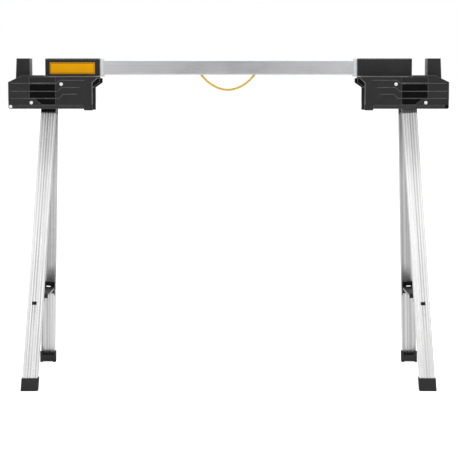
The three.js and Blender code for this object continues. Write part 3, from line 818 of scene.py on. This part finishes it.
def slot_face_highlight(side):
    """The post's inner face beside the slot is made paler, as a painted highlight."""
    return lambda face: 1.0 if face.normal.x * side < -0.9 else 0.0


def finish_bracket(end):
    for kind in ("beam_collar", "bracket_core"):
        finish_node(f"{kind}_{end}")
    finish_node(f"beam_cap_{end}", extra=[cross_ridges(f"beam_cap_{end}")])
    finish_node(f"support_post_{end}", wear_of=slot_face_highlight(ENDS[end]))
    pivot, corner = f"head_pivot_pin_{end}", f"corner_rivet_{end}"
    rivet(pivot, (0, 1, 0), FINISHES[SLOTS[pivot]])
    # A black corner rivet takes the near-black finish: its own black, deepened as painted shade.
    black = SLOTS[corner] == "black_steel"
    rivet(corner, (0, 1, 0), SHADE_BLACK_FINISH if black else FINISHES[SLOTS[corner]])
    for face, facing in FACES.items():
        node = f"bracket_plate_{face}_{end}"
        ribbed_plate(node, facing, FINISHES[SLOTS[node]])
        gusset = f"pivot_gusset_{face}_{end}"
        # The gusset lies behind the plate's window and takes the near-black painted shade.
        eased(gusset, SHADE_BLACK_FINISH, EDGE_WIDTHS["pivot_gusset"] * MM)
        node = f"plate_rivet_{face}_{end}"
        rivet(node, (0, facing, 0), FINISHES[SLOTS[node]], both_ends=False)


def sheared_sides(face):
    """A link is cut from coated strip, so its long sides are bare."""
    return 1.0 if abs(face.normal.x) > 0.9 else 0.0


GROOVE_DEPTHS = (0.2 * MM, 1.2 * MM)   # below the channel's face, where its groove floors lie
WEB_DEPTH = 3 * MM                     # below its face, past the inside of its web


def channel_recess_shade(node, outwards):
    """The floors of a channel's grooves and the inside of its web are darkened as painted shade."""
    face_at = max(vertex.co.dot(outwards) for vertex in frame["nodes"][node].data.vertices)

    def wear_of(face):
        below = face_at - face.calc_center_median().dot(outwards)
        facing = face.normal.dot(outwards)
        if facing > 0.6 and GROOVE_DEPTHS[0] < below < GROOVE_DEPTHS[1]:
            return -0.8
        return -0.6 if facing < -0.6 and below < WEB_DEPTH else 0.0

    return wear_of


def finish_legs(end):
    finish_node(f"leg_head_{end}")
    for face, facing in FACES.items():
        down = leg_direction(face, end)
        axis = JOINTS[f"leg_close_{face}_{end}"]["axis"]
        outwards = down.cross(Vector(axis)).normalized()
        outwards *= 1 if outwards.y * facing > 0 else -1
        hinge = JOINTS[f"leg_close_{face}_{end}"]["pos_m"]
        recess_shade_of = channel_recess_shade(f"leg_{face}_{end}", outwards)
        finish_node(f"leg_{face}_{end}", down, origin=hinge, wear_of=recess_shade_of)
        for kind in ("foot_cap", "brace_saddle"):
            finish_node(f"{kind}_{face}_{end}", down)
        finish_node(f"brace_link_{face}_{end}", (0, 1, 0), wear_of=sheared_sides)
        for kind in ("leg_hinge_pin", "brace_pin"):
            node = f"{kind}_{face}_{end}"
            rivet(node, axis, FINISHES[SLOTS[node]])
        towards = -facing * ENDS[end]
        head_side = [number * towards * (1 if axis[0] > 0 else -1) for number in axis]
        node = f"brace_knee_rivet_{face}_{end}"
        rivet(node, head_side, FINISHES[SLOTS[node]], both_ends=False)


# ---- studio ---------------------------------------------------------------------------------
FLOOR_GLOW = 0.16          # lifts the floor's light as the pieces see it
SEEN_FLOOR_GLOW = 0.85     # and as the camera sees it
FLOOR_HALF = 60.0
FLOOR_DROP = 0.4 * MM      # below the feet


def make_floor():
    """A plain pale floor, wide enough to reach the horizon."""
    corners = ((-1, -1), (1, -1), (1, 1), (-1, 1))
    points = [(x * FLOOR_HALF, y * FLOOR_HALF, -FLOOR_DROP) for x, y in corners]
    faces = [(0, 1, 2, 3)]
    mesh = bpy.data.meshes.new("studio_floor")
    mesh.from_pydata(points, [], faces)
    mesh.polygons.foreach_set("use_smooth", [True] * len(mesh.polygons))
    floor = show("studio_floor", mesh)
    material, tree, shader = shaded_material("matt_floor_paint")
    shader.inputs["Specular IOR Level"].default_value = 0.1
    shader.inputs["Emission Color"].default_value = (1, 1, 1, 1)
    seen = wire(tree, "ShaderNodeLightPath").outputs["Is Camera Ray"]
    glow = remap(tree, seen, 0.0, 1.0, FLOOR_GLOW, SEEN_FLOOR_GLOW)
    tree.links.new(glow, shader.inputs["Emission Strength"])
    place = wire(tree, "ShaderNodeTexCoord").outputs["Object"]
    mottle = noise(tree, place, 9.0, 4.0)
    tree.links.new(mix_colours(tree, mottle, grey(0.9), grey(0.93)), shader.inputs["Base Color"])
    tree.links.new(remap(tree, mottle, 0.0, 1.0, 0.8, 0.95), shader.inputs["Roughness"])
    mesh.materials.append(material)


# The studio's walls glow in a ring; heights are the sines of the angles above the horizon.
RING_RISE = (-0.05, 0.22)
RING_FALL = (0.36, 0.52)
HORIZON_GLOW = 0.32
RING_GLOW = 1.2
CEILING_GLOW = 0.36

# Grey card: half its width, its bottom and top, and how far in front of the horse it stands.
SCREEN_HALF, SCREEN_BOTTOM, SCREEN_TOP, SCREEN_DEPTH = 0.75, 0.0, 2.6, -6.0


def make_grey_screen():
    """A grey card standing behind the camera, which the middle of the bright rail mirrors."""
    corners = ((-SCREEN_HALF, SCREEN_BOTTOM), (SCREEN_HALF, SCREEN_BOTTOM),
               (SCREEN_HALF, SCREEN_TOP), (-SCREEN_HALF, SCREEN_TOP))
    points = [(x, SCREEN_DEPTH, z) for x, z in corners]
    mesh = bpy.data.meshes.new("grey_screen")
    mesh.from_pydata(points, [], [(0, 1, 2, 3)])
    screen = show("grey_screen", mesh)
    material, tree, shader = shaded_material("grey_card")
    place = wire(tree, "ShaderNodeTexCoord").outputs["Object"]
    weave = noise(tree, place, 300.0, 2.0)
    tree.links.new(mix_colours(tree, weave, grey(0.05), grey(0.07)), shader.inputs["Base Color"])
    shader.inputs["Roughness"].default_value = 0.95
    mesh.materials.append(material)
    screen.visible_camera = False


def soft_light(name, place, aim, size, power):
    data = bpy.data.lights.new(name, "AREA")
    data.shape = "RECTANGLE"
    data.size, data.size_y = size
    data.energy = power
    light = bpy.data.objects.new(name, data)
    light.location = place
    light.rotation_euler = (Vector(aim) - Vector(place)).to_track_quat("-Z", "Y").to_euler()
    light.visible_camera = False
    bpy.context.scene.collection.objects.link(light)


# Soft boxes, in metres and watts: one before and one behind each end of the horse, one over it.
BOX_OUT, BOX_AWAY, BOX_HEIGHT = 0.95, 2.2, 1.5
BOX_AIM_OUT, BOX_AIM_HEIGHT = 0.5, 0.72
BOX_SIZE, BOX_POWER = (1.4, 1.4), 3.5
OVERHEAD_HEIGHT, OVERHEAD_SIZE, OVERHEAD_POWER = 3.2, (3.0, 2.4), 30


def light_studio():
    scene = bpy.context.scene
    scene.view_settings.view_transform = "Standard"
    world = bpy.data.worlds.new("studio_air")
    scene.world = world
    world.use_nodes = True
    tree = world.node_tree
    direction = wire(tree, "ShaderNodeTexCoord").outputs["Generated"]
    height = wire(tree, "ShaderNodeSeparateXYZ", {"Vector": direction}).outputs["Z"]
    rising = remap(tree, height, *RING_RISE, HORIZON_GLOW, RING_GLOW)
    falling = remap(tree, height, *RING_FALL, RING_GLOW, CEILING_GLOW)
    glow = maths(tree, "MINIMUM", rising, falling)
    seen = wire(tree, "ShaderNodeLightPath").outputs["Is Camera Ray"]
    brightness = maths(tree, "MAXIMUM", glow, seen)
    tree.nodes["Background"].inputs["Color"].default_value = grey(1.0)
    tree.links.new(brightness, tree.nodes["Background"].inputs["Strength"])
    for name, side in ENDS.items():
        aim = (side * BOX_AIM_OUT, 0, BOX_AIM_HEIGHT)
        for part, facing in (("front", -1), ("back", 1)):
            place = (side * BOX_OUT, facing * BOX_AWAY, BOX_HEIGHT)
            soft_light(f"{part}_box_{name}", place, aim, BOX_SIZE, BOX_POWER)
    soft_light("overhead_box", (0, 0, OVERHEAD_HEIGHT), (0, 0, 0), OVERHEAD_SIZE, OVERHEAD_POWER)


# ---- making it ------------------------------------------------------------------------------
set_camera()
make_cord(FINISHES["cord_yellow"])
finish_node("beam_rail")
make_badge(FINISHES["badge_yellow"])
for end_name in ENDS:
    finish_bracket(end_name)
    finish_legs(end_name)
make_floor()
make_grey_screen()
light_studio()
